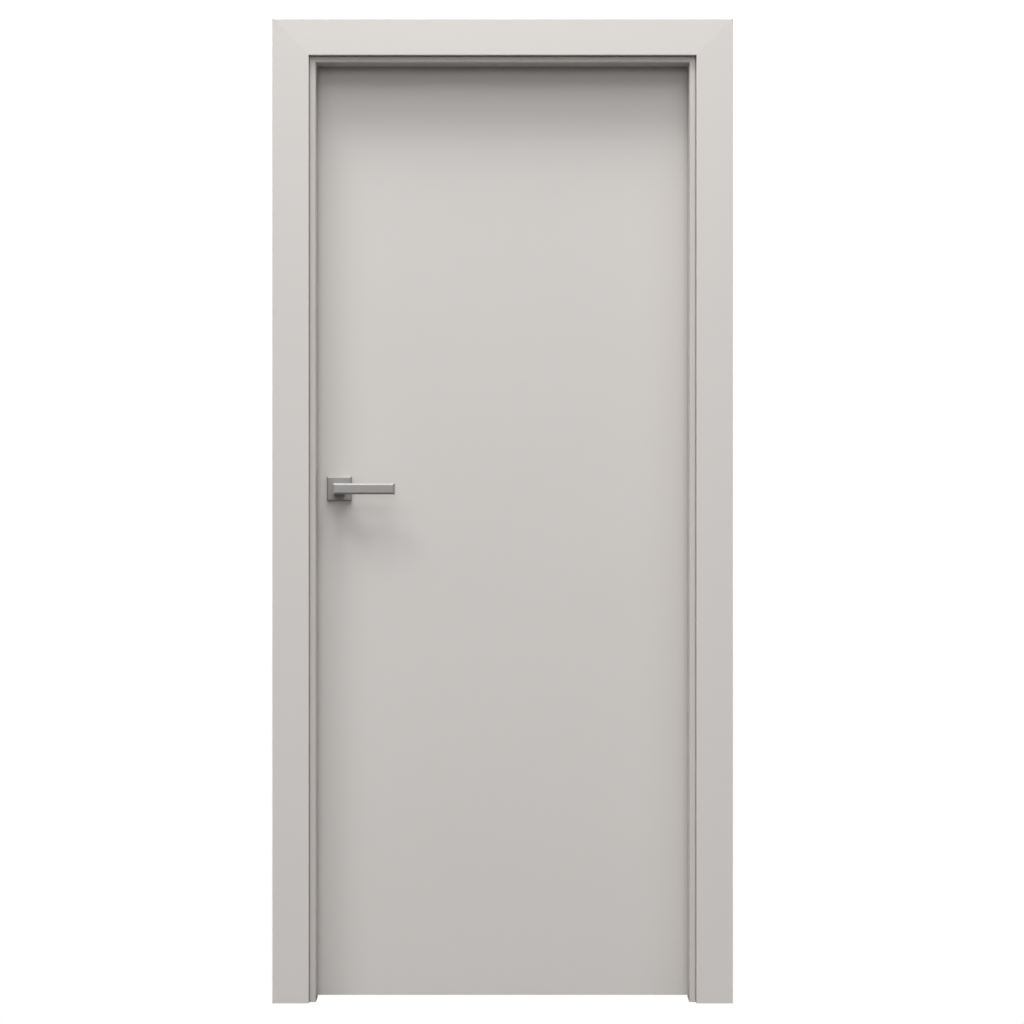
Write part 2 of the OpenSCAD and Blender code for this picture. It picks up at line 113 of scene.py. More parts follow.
def mixColour(tree, factor, first, second):
    node = addNode(tree, "ShaderNodeMix", data_type="RGBA")
    for name, value in (("Factor", factor), ("A", first), ("B", second)):
        socket = next(s for s in node.inputs if s.name == name and s.enabled)
        if isinstance(value, bpy.types.NodeSocket):
            tree.links.new(value, socket)
        else:
            socket.default_value = value
    return next(s for s in node.outputs if s.enabled)


def mapRange(tree, value, fromLow, fromHigh, toLow, toHigh):
    inputs = {"Value": value, "From Min": fromLow, "From Max": fromHigh, "To Min": toLow, "To Max": toHigh}
    return addNode(tree, "ShaderNodeMapRange", inputs).outputs[0]


def noiseAt(tree, vector, scale, detail=2.0, roughness=0.5):
    inputs = {"Vector": vector, "Scale": scale, "Detail": detail, "Roughness": roughness}
    return addNode(tree, "ShaderNodeTexNoise", inputs).outputs["Fac"]


def objectVector(tree, stretch=(1, 1, 1)):
    coordinate = addNode(tree, "ShaderNodeTexCoord")
    return addNode(tree, "ShaderNodeMapping", {"Vector": coordinate.outputs["Object"], "Scale": stretch}).outputs[0]


def newGroup(name, inputs, outputs):
    group = bpy.data.node_groups.new(name, "ShaderNodeTree")
    for socketName, kind, value in inputs:
        socket = group.interface.new_socket(socketName, in_out="INPUT", socket_type=kind)
        socket.default_value = value
    for socketName, kind in outputs:
        group.interface.new_socket(socketName, in_out="OUTPUT", socket_type=kind)
    return group, group.nodes.new("NodeGroupInput").outputs, group.nodes.new("NodeGroupOutput").inputs


def useGroup(tree, group, **values):
    node = tree.nodes.new("ShaderNodeGroup")
    node.node_tree = group
    for key, value in values.items():
        node.inputs[key].default_value = value
    return node.outputs


def newMaterial(name, **settings):
    material = bpy.data.materials.new(name)
    material.use_nodes = True
    tree = material.node_tree
    shader = tree.nodes["Principled BSDF"]
    for key, value in settings.items():
        shader.inputs[key.replace("_", " ")].default_value = value
    return material, tree, shader


# Shared effects

def makeLacquerSkin():
    # Sprayed satin lacquer: slow drift of tone, fine speckle and a faint orange-peel relief
    group, given, result = newGroup(
        "lacquerSkin",
        [("Tone", "NodeSocketColor", (0.6, 0.6, 0.6, 1)), ("Drift", "NodeSocketFloat", 0.02),
         ("Gloss", "NodeSocketFloat", 0.4), ("Relief", "NodeSocketFloat", 0.1)],
        [("Colour", "NodeSocketColor"), ("Roughness", "NodeSocketFloat"), ("Normal", "NodeSocketVector")])
    vector = objectVector(group)
    cloud = noiseAt(group, vector, 2.2, 3.0)
    speckle = noiseAt(group, vector, 900.0, 2.0, 0.7)
    shade = mathNode(group, "ADD", mathNode(group, "SUBTRACT", cloud, 0.5),
                     mathNode(group, "MULTIPLY", mathNode(group, "SUBTRACT", speckle, 0.5), 0.5))
    value = mathNode(group, "ADD", mathNode(group, "MULTIPLY", shade, given["Drift"]), 1.0)
    tinted = addNode(group, "ShaderNodeHueSaturation", {"Value": value, "Color": given["Tone"]}).outputs[0]
    group.links.new(tinted, result["Colour"])
    peel = noiseAt(group, vector, 420.0, 2.5, 0.55)
    wide = noiseAt(group, vector, 24.0, 2.0)
    height = mathNode(group, "ADD", peel, mathNode(group, "MULTIPLY", wide, 2.0))
    bump = addNode(group, "ShaderNodeBump", {"Strength": given["Relief"], "Distance": 0.0004, "Height": height})
    group.links.new(bump.outputs[0], result["Normal"])
    rough = mathNode(group, "ADD", given["Gloss"], mathNode(group, "MULTIPLY", mathNode(group, "SUBTRACT", peel, 0.5), 0.12))
    group.links.new(rough, result["Roughness"])
    return group


def makeBrushGrain():
    # Fine brush lines along one direction, with soft handling marks
    group, given, result = newGroup(
        "brushGrain",
        [("Stretch", "NodeSocketVector", (1, 1, 1)), ("Fine", "NodeSocketFloat", 900.0),
         ("Gloss", "NodeSocketFloat", 0.3), ("Relief", "NodeSocketFloat", 0.1)],
        [("Line", "NodeSocketFloat"), ("Roughness", "NodeSocketFloat"), ("Normal", "NodeSocketVector")])
    coordinate = addNode(group, "ShaderNodeTexCoord").outputs["Object"]
    along = addNode(group, "ShaderNodeMapping", {"Vector": coordinate, "Scale": given["Stretch"]}).outputs[0]
    line = addNode(group, "ShaderNodeTexNoise", {"Vector": along, "Scale": given["Fine"], "Detail": 3.0}).outputs["Fac"]
    mark = noiseAt(group, coordinate, 60.0, 3.0, 0.6)
    group.links.new(line, result["Line"])
    spread = mathNode(group, "ADD", mathNode(group, "MULTIPLY", mathNode(group, "SUBTRACT", line, 0.5), 0.16),
                      mathNode(group, "MULTIPLY", mathNode(group, "SUBTRACT", mark, 0.5), 0.14))
    group.links.new(mathNode(group, "ADD", given["Gloss"], spread), result["Roughness"])
    bump = addNode(group, "ShaderNodeBump", {"Strength": given["Relief"], "Distance": 0.00008, "Height": line})
    group.links.new(bump.outputs[0], result["Normal"])
    return group


def makeFaceMask():
    # 1 on faces that look along Direction and lie beyond Level on that axis
    group, given, result = newGroup(
        "faceMask",
        [("Direction", "NodeSocketVector", (1, 0, 0)), ("Level", "NodeSocketFloat", 0.0)],
        [("Mask", "NodeSocketFloat")])
    coordinate = addNode(group, "ShaderNodeTexCoord")
    facing = addNode(group, "ShaderNodeVectorMath", {0: coordinate.outputs["Normal"], 1: given["Direction"]},
                     operation="DOT_PRODUCT").outputs["Value"]
    reach = addNode(group, "ShaderNodeVectorMath", {0: coordinate.outputs["Object"], 1: given["Direction"]},
                    operation="DOT_PRODUCT").outputs["Value"]
    both = mathNode(group, "MULTIPLY", mathNode(group, "GREATER_THAN", facing, 0.9),
                    mathNode(group, "GREATER_THAN", reach, given["Level"]))
    group.links.new(both, result["Mask"])
    return group


def makeBoxMask():
    # 1 inside the box around Middle whose half sizes are Half
    group, given, result = newGroup(
        "boxMask",
        [("Middle", "NodeSocketVector", (0, 0, 0)), ("Half", "NodeSocketVector", (1, 1, 1))],
        [("Mask", "NodeSocketFloat")])
    coordinate = addNode(group, "ShaderNodeTexCoord").outputs["Object"]
    away = addNode(group, "ShaderNodeVectorMath", {0: coordinate, 1: given["Middle"]}, operation="SUBTRACT").outputs[0]
    size = addNode(group, "ShaderNodeVectorMath", {0: away}, operation="ABSOLUTE").outputs[0]
    share = addNode(group, "ShaderNodeVectorMath", {0: size, 1: given["Half"]}, operation="DIVIDE").outputs[0]
    part = addNode(group, "ShaderNodeSeparateXYZ", {0: share}).outputs
    largest = mathNode(group, "MAXIMUM", mathNode(group, "MAXIMUM", part["X"], part["Y"]), part["Z"])
    group.links.new(mathNode(group, "LESS_THAN", largest, 1.0), result["Mask"])
    return group


def makeBoardFibre():
    # Sawn fibreboard: matted fibres with darker and lighter flecks
    group, given, result = newGroup(
        "boardFibre",
        [("Tone", "NodeSocketColor", (0.4, 0.28, 0.17, 1)), ("Stretch", "NodeSocketVector", (1, 1, 1))],
        [("Colour", "NodeSocketColor"), ("Height", "NodeSocketFloat")])
    coordinate = addNode(group, "ShaderNodeTexCoord").outputs["Object"]
    along = addNode(group, "ShaderNodeMapping", {"Vector": coordinate, "Scale": given["Stretch"]}).outputs[0]
    fibre = noiseAt(group, along, 380.0, 5.0, 0.7)
    patch = noiseAt(group, along, 18.0, 3.0)
    value = mathNode(group, "ADD", mapRange(group, fibre, 0.25, 0.75, 0.78, 1.18),
                     mathNode(group, "MULTIPLY", mathNode(group, "SUBTRACT", patch, 0.5), 0.25))
    tinted = addNode(group, "ShaderNodeHueSaturation", {"Value": value, "Color": given["Tone"]}).outputs[0]
    group.links.new(tinted, result["Colour"])
    group.links.new(fibre, result["Height"])
    return group


lacquerSkin = makeLacquerSkin()
brushGrain = makeBrushGrain()
faceMask = makeFaceMask()
boxMask = makeBoxMask()
boardFibre = makeBoardFibre()


# Finishes

finish = {
    "leafLacquer": (0.641, 0.612, 0.590, 1),
    # jamb lacquer set about 9 % darker than the casings: painted shade of the recess between casing and leaf
    "jambPaintedShadeLacquer": (0.586, 0.558, 0.536, 1),
    "sideLacquer": (0.647, 0.617, 0.595, 1),
    # head casing lacquer set about 4 % lighter than the side casings: painted light falling from above
    "headPaintedLightLacquer": (0.671, 0.640, 0.617, 1),
    "board": (0.42, 0.30, 0.19, 1),
    "backing": (0.50, 0.41, 0.31, 1),
    "nickel": (0.362, 0.353, 0.346, 1),
    "plateNickel": (0.50, 0.49, 0.48, 1),
    "zinc": (0.60, 0.60, 0.60, 1),
    "gasket": (0.105, 0.085, 0.070, 1),
    "nylon": (0.70, 0.70, 0.68, 1),
    "pine": (0.62, 0.44, 0.26, 1),
}


def lacquerMaterial(name, rawFaces, tone, gloss=0.38, relief=0.12, rawBox=None):
    # Satin lacquer on fibreboard; rawFaces are (direction, level) of the faces that stay bare,
    # and what lies inside rawBox (middle, half sizes) stays bare too
    material, tree, shader = newMaterial(name, Specular_IOR_Level=0.45)
    skin = useGroup(tree, lacquerSkin, Tone=finish[tone], Drift=0.03, Gloss=gloss, Relief=relief)
    colour, rough = skin["Colour"], skin["Roughness"]
    if rawFaces:
        mask = 0.0
        for direction, level in rawFaces:
            one = useGroup(tree, faceMask, Direction=direction, Level=level)["Mask"]
            mask = mathNode(tree, "MAXIMUM", one, mask)
        if rawBox:
            inside = useGroup(tree, boxMask, Middle=rawBox[0], Half=rawBox[1])["Mask"]
            mask = mathNode(tree, "MAXIMUM", inside, mask)
        fibre = useGroup(tree, boardFibre, Tone=finish["board"], Stretch=(1, 1, 1))
        colour = mixColour(tree, mask, colour, fibre["Colour"])
        rough = mathNode(tree, "MAXIMUM", rough, mathNode(tree, "MULTIPLY", mask, 0.85))
    tree.links.new(colour, shader.inputs["Base Color"])
    tree.links.new(rough, shader.inputs["Roughness"])
    tree.links.new(skin["Normal"], shader.inputs["Normal"])
    return material


def metalMaterial(name, tone, stretch, gloss=0.3, fine=900.0, relief=0.12, bare=1.0):
    # Brushed metal; bare below 1 is the milky film of a lacquered satin plating
    material, tree, shader = newMaterial(name, Metallic=bare)
    grain = useGroup(tree, brushGrain, Stretch=stretch, Fine=fine, Gloss=gloss, Relief=relief)
    shade = mapRange(tree, grain["Line"], 0.3, 0.7, 0.95, 1.04)
    tinted = addNode(tree, "ShaderNodeHueSaturation", {"Value": shade, "Color": tone}).outputs[0]
    tree.links.new(tinted, shader.inputs["Base Color"])
    tree.links.new(grain["Roughness"], shader.inputs["Roughness"])
    tree.links.new(grain["Normal"], shader.inputs["Normal"])
    return material


def plainMaterial(name, tone, roughness, scale, spread, relief, stretch=(1, 1, 1)):
    # Rubber, nylon or bare wood: one noise drives tone, roughness and relief
    material, tree, shader = newMaterial(name)
    noise = noiseAt(tree, objectVector(tree, stretch), scale, 4.0, 0.6)
    value = mapRange(tree, noise, 0.3, 0.7, 1 - spread, 1 + spread)
    tinted = addNode(tree, "ShaderNodeHueSaturation", {"Value": value, "Color": tone}).outputs[0]
    tree.links.new(tinted, shader.inputs["Base Color"])
    tree.links.new(mapRange(tree, noise, 0.3, 0.7, roughness - 0.06, roughness + 0.06), shader.inputs["Roughness"])
    bump = addNode(tree, "ShaderNodeBump", {"Strength": relief, "Distance": 0.0003, "Height": noise})
    tree.links.new(bump.outputs[0], shader.inputs["Normal"])
    return material


def makeFinishes():
    frontLow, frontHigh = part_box("front_casing_head")
    backLow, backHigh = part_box("back_casing_head")
    jambLow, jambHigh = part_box("jamb_left")[0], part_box("jamb_right")[1]
    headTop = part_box("head_jamb")[1].z
    hair = 0.0005
    foot = ((0, 0, -1), -hair)
    wallFront = frontLow.y + 0.011  # just inside the relief milled in the casing
    wallBack = backLow.y + 0.003
    plateLow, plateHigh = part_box("strike_plate")
    pocketLow = Vector((jambLow.x + 0.002, plateLow.y, plateLow.z))
    pocketHigh = Vector((plateHigh.x - 0.0035, plateHigh.y, plateHigh.z))
    latchPocket = ((pocketLow + pocketHigh) / 2, (pocketHigh - pocketLow) / 2)
    materials = {
        # the jambs take the darker tone, painted shade of the recess around the leaf
        "jamb": lacquerMaterial("jambPaintedShadeLacquer", [foot, ((-1, 0, 0), -jambLow.x - hair),
                                                ((1, 0, 0), jambHigh.x - hair), ((0, 0, 1), headTop - hair)],
                                "jambPaintedShadeLacquer", rawBox=latchPocket),
        "frontSide": lacquerMaterial("frontSideLacquer", [foot, ((0, 1, 0), wallFront)], "sideLacquer"),
        # the head casings take the lighter tone, painted light from above
        "frontHead": lacquerMaterial("frontHeadPaintedLightLacquer", [((0, 1, 0), wallFront)], "headPaintedLightLacquer"),
        "backSide": lacquerMaterial("backSideLacquer", [foot, ((0, -1, 0), -wallBack)], "sideLacquer"),
        "backHead": lacquerMaterial("backHeadPaintedLightLacquer", [((0, -1, 0), -wallBack)], "headPaintedLightLacquer"),
        "leaf": lacquerMaterial("leafLacquer", [], "leafLacquer"),
        "band": lacquerMaterial("edgeBandLaminate", [], "leafLacquer", gloss=0.42),
        "lever": metalMaterial("leverSatinNickel", finish["nickel"], (0.04, 1, 1), gloss=0.60, bare=0.38),
        "rosette": metalMaterial("rosetteSatinNickel", finish["nickel"], (1, 1, 0.04), gloss=0.60, bare=0.38),
        "hinge": metalMaterial("hingeMattNickel", finish["plateNickel"], (1, 1, 0.05), gloss=0.42, bare=0.8),
        "lockPlate": metalMaterial("lockPlateNickel", finish["plateNickel"], (1, 1, 0.04), gloss=0.40, bare=0.8),
        "zinc": metalMaterial("zincSteel", finish["zinc"], (1, 1, 1), gloss=0.42, fine=300.0),
        "screw": metalMaterial("screwSteel", finish["zinc"], (1, 1, 1), gloss=0.30, fine=500.0),
        "gasket": plainMaterial("gasketRubber", finish["gasket"], 0.62, 500.0, 0.10, 0.15, (1, 1, 0.05)),
        "nylon": plainMaterial("washerNylon", finish["nylon"], 0.45, 700.0, 0.04, 0.10),
        "pine": plainMaterial("stilePine", finish["pine"], 0.70, 60.0, 0.22, 0.30, (1, 1, 0.06)),
        "core": plainMaterial("coreChipboard", finish["board"], 0.85, 320.0, 0.30, 0.60),
    }
    return materials


finishes = makeFinishes()
nodeFinish = {
    "jamb_left": "jamb", "jamb_right": "jamb", "head_jamb": "jamb",
    "front_casing_left": "frontSide", "front_casing_right": "frontSide", "front_casing_head": "frontHead",
    "back_casing_left": "backSide", "back_casing_right": "backSide", "back_casing_head": "backHead",
    "seal_left": "gasket", "seal_right": "gasket", "seal_head": "gasket",
    "strike_plate": "lockPlate", "strike_screws": "zinc", "hinge_washers": "nylon",
    "leaf_front_facing": "leaf", "leaf_back_facing": "leaf",
    "edge_band_left": "band", "edge_band_right": "band", "edge_band_top": "band",
    "lock_stile": "pine", "hinge_stile": "pine", "top_rail": "pine", "bottom_rail": "pine", "leaf_core": "core",
    "lock_case": "zinc", "lock_faceplate": "lockPlate", "latch_bolt": "lockPlate", "faceplate_screws": "zinc",
    "front_rosette": "rosette", "back_rosette": "rosette", "front_lever": "lever", "back_lever": "lever",
    "spindle": "zinc", "lock_follower": "zinc",
}
for height in ("low", "mid", "top"):
    nodeFinish["hinge_frame_part_" + height] = "hinge"
    nodeFinish["hinge_leaf_part_" + height] = "hinge"


def dressNodes():
    for name, node in frame["nodes"].items():
        node.data.materials.clear()
        node.data.materials.append(finishes[nodeFinish[name]])


dressNodes()
print("finishes on", len(nodeFinish), "nodes")


# Softened copies of what the eye and the hand meet

def pieceNameOf(nodeName):
    first, *others = nodeName.split("_")
    return first + "".join(word.capitalize() for word in others)


def addPiece(pieceName, mesh, likeNode):
    piece = bpy.data.objects.new(pieceName, mesh)
    scene.collection.objects.link(piece)
    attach(piece, frame["nodes"][likeNode]["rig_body"])
    return piece


def roundEdges(shape, look):
    # Rounds the outward edges that turn by more than look["turn"] and are at least look["shortest"] long
    chosen = [edge for edge in shape.edges if len(edge.link_faces) == 2 and edge.is_convex
              and edge.calc_face_angle(0) > math.radians(look["turn"]) and edge.calc_length() > look["shortest"]]
    bmesh.ops.bevel(shape, geom=chosen, offset=look["radius"], offset_type="OFFSET", segments=look["steps"],
                    profile=0.5, affect="EDGES", clamp_overlap=look["shortest"] == 0)
    for edge in shape.edges:
        if len(edge.link_faces) == 2 and edge.calc_face_angle(0) > math.radians(40):
            edge.smooth = False


def softenedCopy(nodeName, look):
    # A merged copy of a CAD node with rounded edges and even shading, which stands for that node
    node = frame["nodes"][nodeName]
    shape = bmesh.new()
    shape.from_mesh(node.data)
    bmesh.ops.remove_doubles(shape, verts=shape.verts, dist=2e-6)
    bmesh.ops.dissolve_limit(shape, angle_limit=math.radians(0.6), verts=shape.verts, edges=shape.edges)
    if look["radius"]:
        roundEdges(shape, look)
    mesh = bpy.data.meshes.new(pieceNameOf(nodeName))
    shape.to_mesh(mesh)
    shape.free()
    mesh.materials.append(finishes[nodeFinish[nodeName]])
    for polygon in mesh.polygons:
        polygon.use_smooth = True
    piece = addPiece(pieceNameOf(nodeName), mesh, nodeName)
    weighted = piece.modifiers.new("evenShading", "WEIGHTED_NORMAL")
    weighted.keep_sharp = True
    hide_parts(nodeName)
    return piece


sides = ("left", "right", "head")
heights = ("low", "mid", "top")
softening = {
    "boards": {"radius": 0.00045, "turn": 20, "shortest": 0.25, "steps": 3,
               "nodes": ["jamb_left", "jamb_right", "head_jamb"]
               + ["front_casing_" + side for side in sides] + ["back_casing_" + side for side in sides]},
    "bands": {"radius": 0.00030, "turn": 20, "shortest": 0.25, "steps": 3,
              "nodes": ["edge_band_left", "edge_band_right", "edge_band_top"]},
    "levers": {"radius": 0.0007, "turn": 25, "shortest": 0, "steps": 3, "nodes": ["front_lever", "back_lever"]},
    "rosettes": {"radius": 0.0006, "turn": 25, "shortest": 0, "steps": 3,
                 "nodes": ["front_rosette", "back_rosette"]},
    "plates": {"radius": 0.00025, "turn": 40, "shortest": 0, "steps": 2,
               "nodes": ["strike_plate", "lock_faceplate", "latch_bolt"]},
    "hinges": {"radius": 0.0004, "turn": 40, "shortest": 0, "steps": 2,
               "nodes": ["hinge_frame_part_" + height for height in heights]
               + ["hinge_leaf_part_" + height for height in heights]},
    "seals": {"radius": 0, "nodes": ["seal_left", "seal_right", "seal_head"]},
}

for groupName, look in softening.items():
    for nodeName in look["nodes"]:
        softenedCopy(nodeName, look)
    print("softened:", groupName)


# Small screws, made by Geometry Nodes

def newShapeTree(name, inputs):
    tree = bpy.data.node_groups.new(name, "GeometryNodeTree")
    for socketName, kind, value in inputs:
        socket = tree.interface.new_socket(socketName, in_out="INPUT", socket_type=kind)
        if value is not None:
            socket.default_value = value
    tree.interface.new_socket("Geometry", in_out="OUTPUT", socket_type="NodeSocketGeometry")
    return tree, tree.nodes.new("NodeGroupInput").outputs, tree.nodes.new("NodeGroupOutput").inputs


def growPiece(tree, pieceName, likeNode, values):
    # The tree's result as a plain mesh: inputs are set by identifier before the object is first evaluated
    holder = bpy.data.objects.new(pieceName + "Holder", bpy.data.meshes.new(pieceName + "Holder"))
    scene.collection.objects.link(holder)
    modifier = holder.modifiers.new(tree.name, "NODES")
    modifier.node_group = tree
    for item in tree.interface.items_tree:
        if item.item_type == "SOCKET" and item.in_out == "INPUT":
            modifier[item.identifier] = values[item.name]
    evaluated = holder.evaluated_get(bpy.context.evaluated_depsgraph_get())
    mesh = bpy.data.meshes.new_from_object(evaluated)
    holder.modifiers.remove(modifier)
    bpy.data.objects.remove(holder)
    mesh.name = pieceName
    return addPiece(pieceName, mesh, likeNode)


def joined(tree, *parts):
    node = tree.nodes.new("GeometryNodeJoinGeometry")
    for part in parts:
        tree.links.new(part, node.inputs[0])
    return node.outputs[0]


rowInputs = [
    ("Count", "NodeSocketInt", 2), ("First", "NodeSocketVector", (0, 0, 0)), ("Step", "NodeSocketVector", (0, 0, 0.1)),
    ("Turn", "NodeSocketVector", (0, 0, 0)), ("Finish", "NodeSocketMaterial", None)]


def placeInRow(tree, given, result, shape):
    row = addNode(tree, "GeometryNodeMeshLine", {"Count": given["Count"], "Start Location": given["First"],
                                                 "Offset": given["Step"]}, mode="OFFSET")
    placed = addNode(tree, "GeometryNodeInstanceOnPoints", {"Points": row.outputs[0], "Instance": shape,
                                                            "Rotation": given["Turn"]}).outputs[0]
    real = addNode(tree, "GeometryNodeRealizeInstances", {"Geometry": placed}).outputs[0]
    coated = addNode(tree, "GeometryNodeSetMaterial", {"Geometry": real, "Material": given["Finish"]}).outputs[0]
    tree.links.new(coated, result["Geometry"])


def makeScrewTree():
    # Countersunk screws in a row: the head's top faces up its own Z, which Turn points where it should
    tree, given, result = newShapeTree("countersunkScrews", [
        ("Head Radius", "NodeSocketFloat", 0.004), ("Head Height", "NodeSocketFloat", 0.002),
        ("Shank Radius", "NodeSocketFloat", 0.002), ("Shank Length", "NodeSocketFloat", 0.01),
        ("Recess Size", "NodeSocketVector", (0.0045, 0.0009, 0.0024))] + rowInputs)
    lower = mathNode(tree, "MULTIPLY", given["Head Height"], -1.0)
    edge = mathNode(tree, "MULTIPLY", given["Head Height"], 0.1)
    rim = mathNode(tree, "SUBTRACT", given["Head Radius"], edge)
    coneDepth = mathNode(tree, "SUBTRACT", given["Head Height"], edge)
    cone = addNode(tree, "GeometryNodeMeshCone", {"Vertices": 48, "Radius Top": given["Head Radius"],
                                                  "Radius Bottom": given["Shank Radius"], "Depth": coneDepth})
    drop = addNode(tree, "ShaderNodeCombineXYZ", {"Z": lower}).outputs[0]
    head = addNode(tree, "GeometryNodeTransform", {"Geometry": cone.outputs["Mesh"], "Translation": drop}).outputs[0]
    cap = addNode(tree, "GeometryNodeMeshCone", {"Vertices": 48, "Radius Top": rim,
                                                 "Radius Bottom": given["Head Radius"], "Depth": edge})
    lift = addNode(tree, "ShaderNodeCombineXYZ", {"Z": mathNode(tree, "MULTIPLY", edge, -1.0)}).outputs[0]
    top = addNode(tree, "GeometryNodeTransform", {"Geometry": cap.outputs["Mesh"], "Translation": lift}).outputs[0]
    arm = addNode(tree, "GeometryNodeMeshCube", {"Size": given["Recess Size"]}).outputs[0]
    cross = addNode(tree, "GeometryNodeTransform", {"Geometry": arm, "Rotation": (0, 0, math.pi / 2)}).outputs[0]
    shaped = addNode(tree, "GeometryNodeMeshBoolean", {"Mesh 1": joined(tree, head, top)}, operation="DIFFERENCE")
    tree.links.new(arm, shaped.inputs["Mesh 2"])
    tree.links.new(cross, shaped.inputs["Mesh 2"])
    shank = addNode(tree, "GeometryNodeMeshCylinder", {"Vertices": 24, "Radius": given["Shank Radius"],
                                                       "Depth": given["Shank Length"]})
    half = mathNode(tree, "MULTIPLY", given["Shank Length"], -0.5)
    under = addNode(tree, "ShaderNodeCombineXYZ", {"Z": mathNode(tree, "ADD", lower, half)}).outputs[0]
    stem = addNode(tree, "GeometryNodeTransform", {"Geometry": shank.outputs["Mesh"], "Translation": under})
    placeInRow(tree, given, result, joined(tree, shaped.outputs["Mesh"], stem.outputs[0]))
    return tree


def makeGrubTree():
    # Socket screws in a row: each body reaches up its own Z from the end with the hexagonal socket
    tree, given, result = newShapeTree("grubScrews", [
        ("Radius", "NodeSocketFloat", 0.0025), ("Length", "NodeSocketFloat", 0.004),
        ("Key Radius", "NodeSocketFloat", 0.0015), ("Key Depth", "NodeSocketFloat", 0.002)] + rowInputs)
    rod = addNode(tree, "GeometryNodeMeshCylinder", {"Vertices": 40, "Radius": given["Radius"],
                                                     "Depth": given["Length"]}).outputs["Mesh"]
    rise = addNode(tree, "ShaderNodeCombineXYZ", {"Z": mathNode(tree, "MULTIPLY", given["Length"], 0.5)}).outputs[0]
    body = addNode(tree, "GeometryNodeTransform", {"Geometry": rod, "Translation": rise}).outputs[0]
    key = addNode(tree, "GeometryNodeMeshCylinder", {"Vertices": 6, "Radius": given["Key Radius"],
                                                     "Depth": mathNode(tree, "MULTIPLY", given["Key Depth"], 2.0)})
    shaped = addNode(tree, "GeometryNodeMeshBoolean", {"Mesh 1": body}, operation="DIFFERENCE")
    tree.links.new(key.outputs["Mesh"], shaped.inputs["Mesh 2"])
    placeInRow(tree, given, result, shaped.outputs["Mesh"])
    return tree


screwLook = {"headRadius": 0.0039, "headHeight": 0.002, "shankRadius": 0.002, "recess": (0.0046, 0.0009, 0.0026)}


def addScrews(tree, nodeName, pieceName, faces):
    # A pair of screws in the place of a CAD pair: faces is +1 where the heads look along X, -1 against it
    low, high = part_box(nodeName)
    reach = (high.z - low.z) / 2 - (high.y - low.y) / 2  # from the pair's middle to one screw's axis
    middle = (low.z + high.z) / 2
    centreY = (low.y + high.y) / 2
    topX = high.x if faces > 0 else low.x
    length = high.x - low.x - screwLook["headHeight"]
    piece = growPiece(tree, pieceName, nodeName, {
        "Head Radius": screwLook["headRadius"], "Head Height": screwLook["headHeight"],
        "Shank Radius": screwLook["shankRadius"], "Shank Length": length, "Recess Size": screwLook["recess"],
        "Count": 2, "First": (topX, centreY, middle - reach), "Step": (0, 0, 2 * reach),
        "Turn": (0, faces * math.pi / 2, 0), "Finish": finishes["screw"]})
    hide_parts(nodeName)


grubScrew = {"radius": 0.0026, "length": 0.004, "keyRadius": 0.0014, "keyDepth": 0.0018,
             "proud": 0.00015, "fromRosette": 0.0085}


def addGrubScrews(tree):
    # One in the underside of each lever's neck, where it clamps the spindle
    leverLow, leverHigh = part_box("front_lever")
    spindleLow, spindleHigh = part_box("spindle")
    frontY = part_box("front_rosette")[0].y - grubScrew["fromRosette"]
    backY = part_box("back_rosette")[1].y + grubScrew["fromRosette"]
    first = ((spindleLow.x + spindleHigh.x) / 2, frontY, leverLow.z - grubScrew["proud"])
    growPiece(tree, "leverGrubScrews", "front_lever", {
        "Radius": grubScrew["radius"], "Length": grubScrew["length"], "Key Radius": grubScrew["keyRadius"],
        "Key Depth": grubScrew["keyDepth"], "Count": 2, "First": first, "Step": (0, backY - frontY, 0),
        "Turn": (0, 0, 0), "Finish": finishes["screw"]})


screwTree = makeScrewTree()
addScrews(screwTree, "faceplate_screws", "faceplateScrews", -1)
addScrews(screwTree, "strike_screws", "strikeScrews", 1)
addGrubScrews(makeGrubTree())
print("screws placed")


# Studio

# Turn 0 is straight in front of the door and height is an angle. Beams are distant lights, softboxes stand near
studio = {
    "floor": (0.05, 0.05, 0.05, 1),
    "fill": 0.10,
    "aim": (-0.431, 0.0, 1.1),
    "away": 6.5,
    "spread": 14,
    "beams": {
        "overheadBeam": {"turn": 0, "height": 76, "power": 0.75},
        "highBeam": {"turn": 0, "height": 60, "power": 0.58},
        "frontBeam": {"turn": 0, "height": 10, "power": 0.27},
        "leftHighBeam": {"turn": -45, "height": 60, "power": 0.84},
        "rightHighBeam": {"turn": 45, "height": 60, "power": 0.35},
        "leftBeam": {"turn": -50, "height": 35, "power": 0.10},
        "rightBeam": {"turn": 50, "height": 35, "power": 0.08},
        "backHighBeam": {"turn": 145, "height": 58, "power": 2.2},
        "backBeam": {"turn": 215, "height": 40, "power": 0.8},
        "leftSideBeam": {"turn": -100, "height": 25, "power": 1.1},
        "rightSideBeam": {"turn": 100, "height": 25, "power": 1.1},
    },
    "softboxes": {
        "highSoftbox": {"turn": 0, "height": 52, "size": (7, 5), "power": 210},
        "frontSoftbox": {"turn": 0, "height": 32, "size": (8, 5), "power": 49},
        "leftSoftbox": {"turn": -40, "height": 62, "size": (1.8, 1.6), "power": 48},
        "backSoftbox": {"turn": 180, "height": 35, "size": (8, 5), "power": 150},
        "headStrip": {"turn": 0, "height": 0, "size": (1.2, 0.1), "power": 0.16,
                      "aim": (-0.431, -0.054, 2.30), "away": 0.4},
    },
}


def makeWorld():
    world = bpy.data.worlds.new("studioWorld")
    scene.world = world
    world.use_nodes = True
    tree = world.node_tree
    background = tree.nodes["Background"]
    seen = addNode(tree, "ShaderNodeLightPath").outputs["Is Camera Ray"]
    strength = mathNode(tree, "ADD", mathNode(tree, "MULTIPLY", seen, 1.05 - studio["fill"]), studio["fill"])
    background.inputs["Color"].default_value = (1, 1, 1, 1)
    tree.links.new(strength, background.inputs["Strength"])


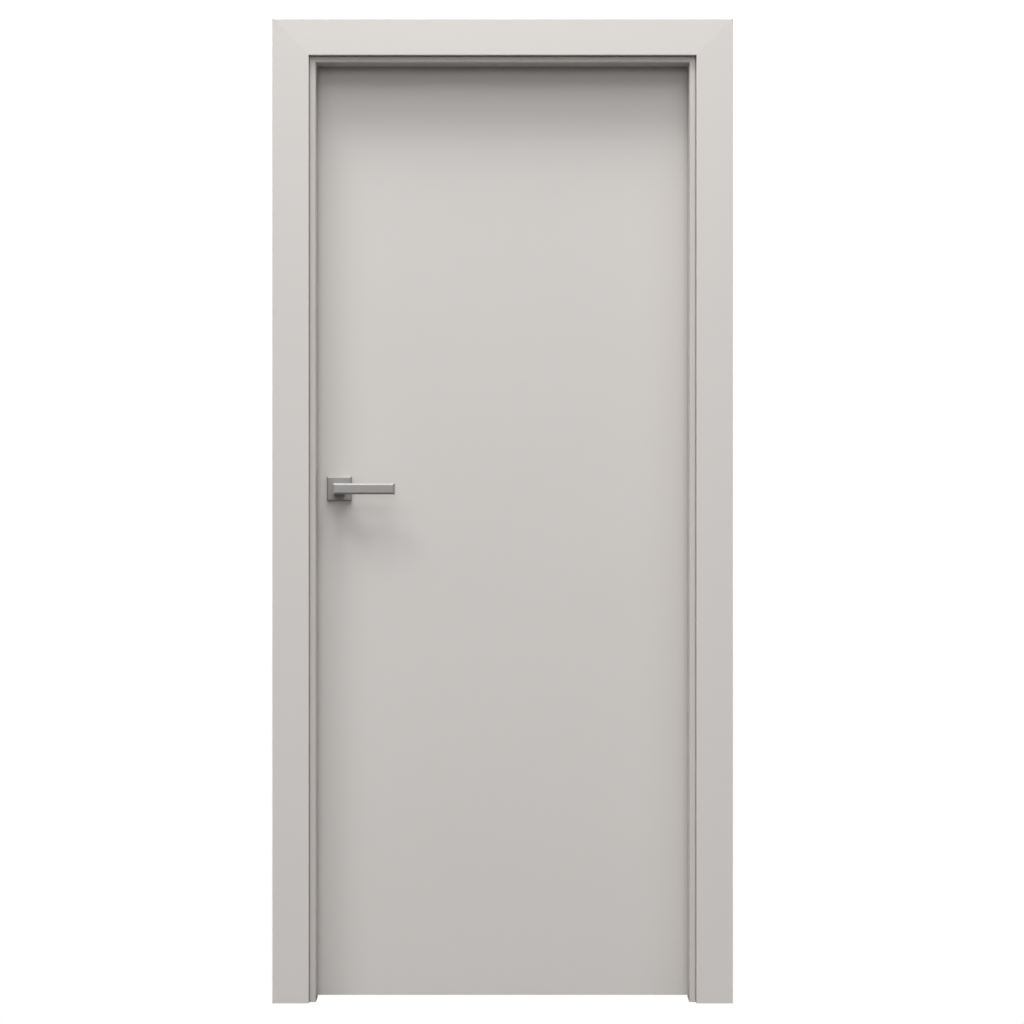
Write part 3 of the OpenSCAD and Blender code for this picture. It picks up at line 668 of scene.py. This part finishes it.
def placeLamp(data, look):
    lamp = bpy.data.objects.new(data.name, data)
    turn, height = math.radians(look["turn"]), math.radians(look["height"])
    aim, away = Vector(look.get("aim", studio["aim"])), look.get("away", studio["away"])
    way = Vector((math.sin(turn) * math.cos(height), -math.cos(turn) * math.cos(height), math.sin(height)))
    lamp.location = aim + way * away
    lamp.rotation_euler = (-way).to_track_quat("-Z", "Y").to_euler()
    lamp.visible_camera = False
    scene.collection.objects.link(lamp)


def makeBeam(name, look):
    data = bpy.data.lights.new(name, "SUN")
    data.angle = math.radians(studio["spread"])
    data.energy = look["power"]
    placeLamp(data, look)


def makeSoftbox(name, look):
    data = bpy.data.lights.new(name, "AREA")
    data.shape = "RECTANGLE"
    data.size, data.size_y = look["size"]
    data.energy = look["power"]
    placeLamp(data, look)


def makeFloor():
    half = 12.0
    mesh = bpy.data.meshes.new("paleFloor")
    mesh.from_pydata([(-half, -half, 0), (half, -half, 0), (half, half, 0), (-half, half, 0)], [], [(0, 1, 2, 3)])
    material, tree, shader = newMaterial("paleFloorPaint", Roughness=0.7)
    noise = noiseAt(tree, objectVector(tree), 3.0)
    shade = mapRange(tree, noise, 0.3, 0.7, 0.995, 1.005)
    tinted = addNode(tree, "ShaderNodeHueSaturation", {"Value": shade, "Color": studio["floor"]}).outputs[0]
    tree.links.new(tinted, shader.inputs["Base Color"])
    glow = addNode(tree, "ShaderNodeEmission", {"Color": (1, 1, 1, 1), "Strength": 1.0})
    seen = addNode(tree, "ShaderNodeLightPath").outputs["Is Camera Ray"]
    blend = addNode(tree, "ShaderNodeMixShader", {0: seen, 1: shader.outputs[0], 2: glow.outputs[0]})
    tree.links.new(blend.outputs[0], tree.nodes["Material Output"].inputs[0])
    mesh.materials.append(material)
    floor = bpy.data.objects.new("paleFloor", mesh)
    scene.collection.objects.link(floor)


makeWorld()
for lampName, lampLook in studio["beams"].items():
    makeBeam(lampName, lampLook)
for lampName, lampLook in studio["softboxes"].items():
    makeSoftbox(lampName, lampLook)
makeFloor()
scene.view_settings.view_transform = "Standard"
print("studio ready")
